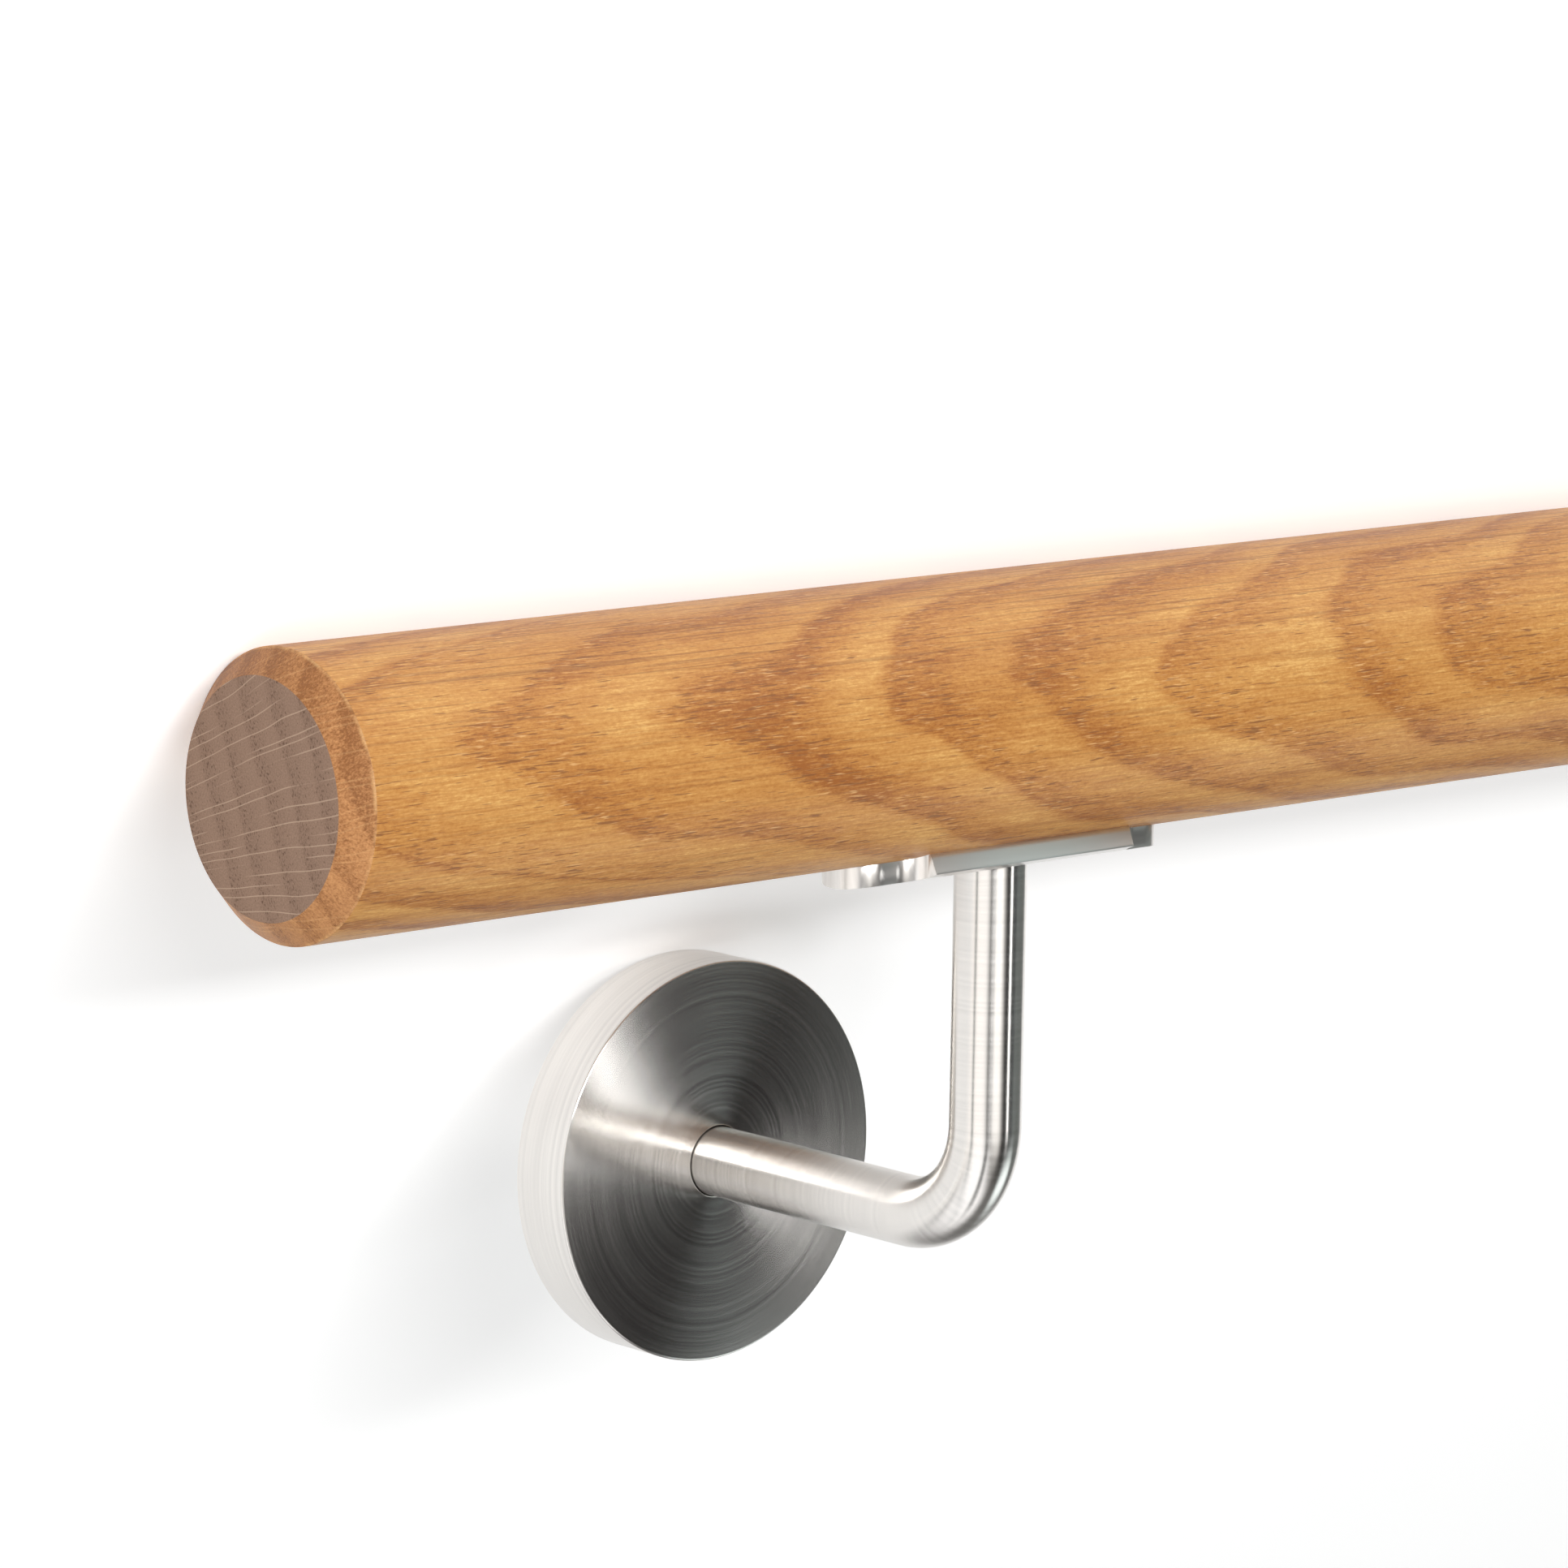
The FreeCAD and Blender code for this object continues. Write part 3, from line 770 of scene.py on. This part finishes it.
def copied_mesh(name, node, place):
    """A node's mesh in the rail frame at the bracket's place, with joined corners.

    Its brush map has U round the rail and V along it, in millimetres.
    """
    mesh = nodes[node].data.copy()
    mesh.name = name
    mesh.transform((rail_frame @ Matrix.Translation((place, 0, 0))).inverted())
    edit = bmesh.new()
    edit.from_mesh(mesh)
    bmesh.ops.remove_doubles(edit, verts=edit.verts, dist=JOIN_DISTANCE)
    for layer in list(edit.loops.layers.uv.values()):
        edit.loops.layers.uv.remove(layer)
    brush = edit.loops.layers.uv.new(BRUSH_MAP)
    for face in edit.faces:
        for corner in face.loops:
            spot = corner.vert.co
            corner[brush].uv = (math.atan2(spot.y, -spot.z) * PLATE_RADIUS, spot.x)
    edit.to_mesh(mesh)
    edit.free()
    mesh.materials.clear()
    return mesh


def soften_edges(piece):
    soften = piece.modifiers.new("soft_edges", "BEVEL")
    soften.width = SOFT_EDGE * MM
    soften.segments = SOFT_EDGE_STEPS
    soften.limit_method = "ANGLE"
    soften.angle_limit = math.radians(SHARP_ANGLE)


def make_brackets():
    turned = steel_material("stainless_turned", roughness=0.24, spread=0.85, contrast=0.1)
    satin = steel_material("stainless_brushed", roughness=0.24, spread=0.85, contrast=0.07)
    plate = steel_material("stainless_plate", roughness=0.3, spread=0.4, contrast=0.07)
    for side, sign in SIDES.items():
        place = sign * BRACKET_PLACE
        rod = rod_mesh(f"{side}_brushed_rod")
        rod.materials.append(satin)
        add_piece(rod, f"{side}_support_rod", place, ROD_SHARP_ANGLE)
        cover = rosette_mesh(f"{side}_brushed_rosette")
        cover.materials.append(turned)
        add_piece(cover, f"{side}_cover_rosette", place)
        for part in ("saddle_plate", "wall_flange", "end_screw", "inner_screw"):
            mesh = copied_mesh(f"{side}_soft_{part}", f"{side}_{part}", place)
            mesh.materials.append(plate)
            soften_edges(add_piece(mesh, f"{side}_{part}", place))


# Floor, in metres: white, with a glow to the eye and in mirrors that grows beyond the rail and far away
FLOOR_HALF = 20
FLOOR_WHITE = (0.98, 0.98, 0.98)
GLOW_WHITE = (1, 1, 1)
FLOOR_GLOW = 0.22
FLOOR_GLOW_BEYOND = 0.5
FLOOR_GLOW_FAR = 0.75
FLOOR_NEAR = 0.4
FLOOR_FAR = 3.0


def floor_material():
    material, graph = new_material("white_floor")
    path = graph.add("ShaderNodeLightPath").outputs
    seen = graph.math("MAXIMUM", path["Is Camera Ray"], path["Is Glossy Ray"])
    seen = graph.math("MAXIMUM", seen, path["Is Transmission Ray"])
    place = graph.add("ShaderNodeTexCoord").outputs["Object"]
    sideways = graph.dot(place, SIDEWAYS)
    amount = graph.ramp(sideways, rail_low.y, rail_high.y, FLOOR_GLOW, FLOOR_GLOW_BEYOND)
    far = graph.ramp(graph.length(place), FLOOR_NEAR, FLOOR_FAR, 0.0, FLOOR_GLOW_FAR)
    share = graph.times(seen, graph.math("MAXIMUM", amount, far))
    matt = graph.add("ShaderNodeBsdfDiffuse", {"Color": colour_value(FLOOR_WHITE)})
    glow = graph.add("ShaderNodeEmission", {"Color": colour_value(GLOW_WHITE), "Strength": share})
    surface = graph.add("ShaderNodeAddShader", {0: matt.outputs[0], 1: glow.outputs[0]})
    graph.add("ShaderNodeOutputMaterial", {"Surface": surface.outputs[0]})
    return material


def make_floor():
    mesh = bpy.data.meshes.new("floor")
    corners = [(-FLOOR_HALF, -FLOOR_HALF, 0), (FLOOR_HALF, -FLOOR_HALF, 0)]
    corners += [(FLOOR_HALF, FLOOR_HALF, 0), (-FLOOR_HALF, FLOOR_HALF, 0)]
    mesh.from_pydata(corners, [], [(0, 1, 2, 3)])
    floor = bpy.data.objects.new("floor", mesh)
    bpy.context.scene.collection.objects.link(floor)
    mesh.materials.append(floor_material())


# Studio: a grey room with a white horizon
ROOM_GREY = (0.2, 0.196, 0.192)
HORIZON_WHITE = (1, 1, 1)
HORIZON_SHARE = 0.13
HORIZON_FADE = 1.5

# Gaps in it: the share of their width that is full, and the cosines between which they set in ahead
GAP_CORE = 0.6
GAP_AHEAD = (0.2, 0.4)


class Room:
    """Colours of the studio by direction, as seen from the part lying on the floor."""

    def __init__(self, graph):
        self.graph = graph
        self.direction = graph.add("ShaderNodeTexCoord").outputs["Generated"]
        height = graph.math("ABSOLUTE", graph.dot(self.direction, UPRIGHT))
        low = graph.ramp(height, HORIZON_SHARE, HORIZON_SHARE * HORIZON_FADE, low=1.0, high=0.0)
        self.colour = graph.mix(low, ROOM_GREY, HORIZON_WHITE)

    def patch(self, toward, full, end, colour):
        """A round patch, full up to one angle from its middle and fading until another."""
        graph = self.graph
        facing = graph.dot(self.direction, tuple(Vector(toward).normalized()))
        inside = graph.ramp(facing, math.cos(math.radians(end)), math.cos(math.radians(full)))
        self.colour = graph.mix(inside, self.colour, colour)

    def gap(self, toward, half_width, colour):
        """A dark stretch that stands in line with the posts of the brackets."""
        graph = self.graph
        level = (Vector(toward) - upward * upward.dot(Vector(toward))).normalized()
        beside = graph.math("ABSOLUTE", graph.dot(self.direction, tuple(level.cross(upward))))
        edge = math.sin(math.radians(half_width))
        thin = graph.ramp(beside, edge * GAP_CORE, edge, low=1.0, high=0.0)
        ahead = graph.ramp(graph.dot(self.direction, tuple(level)), *GAP_AHEAD)
        self.colour = graph.mix(graph.times(thin, ahead), self.colour, colour)


def make_room():
    world = bpy.data.worlds.new("studio")
    bpy.context.scene.world = world
    world.use_nodes = True
    graph = Graph(world.node_tree)
    room = Room(graph)
    # Grey break in the horizon
    room.patch(toward=(-0.6, 0.75, 0.25), full=18, end=40, colour=ROOM_GREY)
    # Bright walls beyond the left end and above it
    room.patch(toward=(-0.95, 0.05, 0.3), full=22, end=37, colour=(1.35, 1.31, 1.27))
    room.patch(toward=(-0.5, -0.4, 0.77), full=22, end=45, colour=(1.5, 1.5, 1.52))
    # Dark ceiling, and a bright panel beside it
    room.patch(toward=(0.15, 0.25, 0.95), full=18, end=36, colour=(0.08, 0.075, 0.07))
    room.patch(toward=(-0.04, 0.54, 0.83), full=18, end=24, colour=(1.05, 1.03, 1.0))
    # Black wall that the rosettes mirror, with dim and bluish panels round it
    room.patch(toward=(0.66, 0.37, 0.65), full=26, end=44, colour=(0.012, 0.01, 0.01))
    room.patch(toward=(0.95, 0.05, 0.3), full=12, end=30, colour=(0.16, 0.175, 0.17))
    room.patch(toward=(0.67, 0.70, 0.22), full=9, end=20, colour=(0.5, 0.6, 0.6))
    room.patch(toward=(0.66, -0.25, 0.7), full=8, end=18, colour=(1.6, 1.75, 1.75))
    # Gaps that draw dark lines down the posts
    room.gap(toward=(-0.985, -0.07, 0.16), half_width=4, colour=(0.25, 0.27, 0.27))
    room.gap(toward=(-0.58, 0.42, 0.70), half_width=6, colour=(0.12, 0.12, 0.12))
    sky = graph.add("ShaderNodeBackground", {"Color": room.colour, "Strength": 1.0})
    graph.add("ShaderNodeOutputWorld", {"Surface": sky.outputs[0]})


def add_strip(name, place, length, height, power):
    """A soft strip lamp along the rail, turned about its length to face the part."""
    lamp = bpy.data.lights.new(name, "AREA")
    lamp.shape = "RECTANGLE"
    lamp.size = length
    lamp.size_y = height
    lamp.energy = power
    holder = bpy.data.objects.new(name, lamp)
    bpy.context.scene.collection.objects.link(holder)
    holder.location = place
    holder.rotation_euler.x = -math.atan2(holder.location.y, holder.location.z)


def make_lights():
    add_strip("key_strip", place=(-1.05, 1.9, 1.1), length=1.5, height=0.2, power=35)
    add_strip("small_strip", place=(0.735, 1.1, 1.67), length=0.3, height=0.34, power=2.1)


# Camera, placed and turned in the rail frame
IMAGE_WIDTH = 1932
FOCAL_PIXELS = 8322.4
SENSOR_WIDTH = 36
CAMERA_PLACE = (-1103.5, -782.2, 166.2)
CAMERA_HEADING = math.radians(42.14)
CAMERA_PITCH = math.radians(-9.38)
CAMERA_ROLL = math.radians(0.88)
CAMERA_REACH = 200


def make_camera():
    forward = Vector((
        math.sin(CAMERA_HEADING) * math.cos(CAMERA_PITCH),
        math.cos(CAMERA_HEADING) * math.cos(CAMERA_PITCH),
        math.sin(CAMERA_PITCH),
    ))
    level = forward.cross(Vector(UPRIGHT)).normalized()
    right = Matrix.Rotation(-CAMERA_ROLL, 3, forward) @ level
    top = right.cross(forward)
    axes = turn.to_3x3() @ Matrix((right, top, -forward)).transposed()
    camera = bpy.data.cameras.new("camera")
    camera.sensor_width = SENSOR_WIDTH
    camera.lens = FOCAL_PIXELS / IMAGE_WIDTH * SENSOR_WIDTH
    camera.clip_end = CAMERA_REACH
    holder = bpy.data.objects.new("camera", camera)
    bpy.context.scene.collection.objects.link(holder)
    holder.matrix_world = Matrix.Translation(rail_frame @ Vector(CAMERA_PLACE)) @ axes.to_4x4()
    bpy.context.scene.camera = holder


make_rail()
make_brackets()
make_floor()
make_room()
make_lights()
make_camera()
bpy.context.scene.view_settings.view_transform = "Standard"
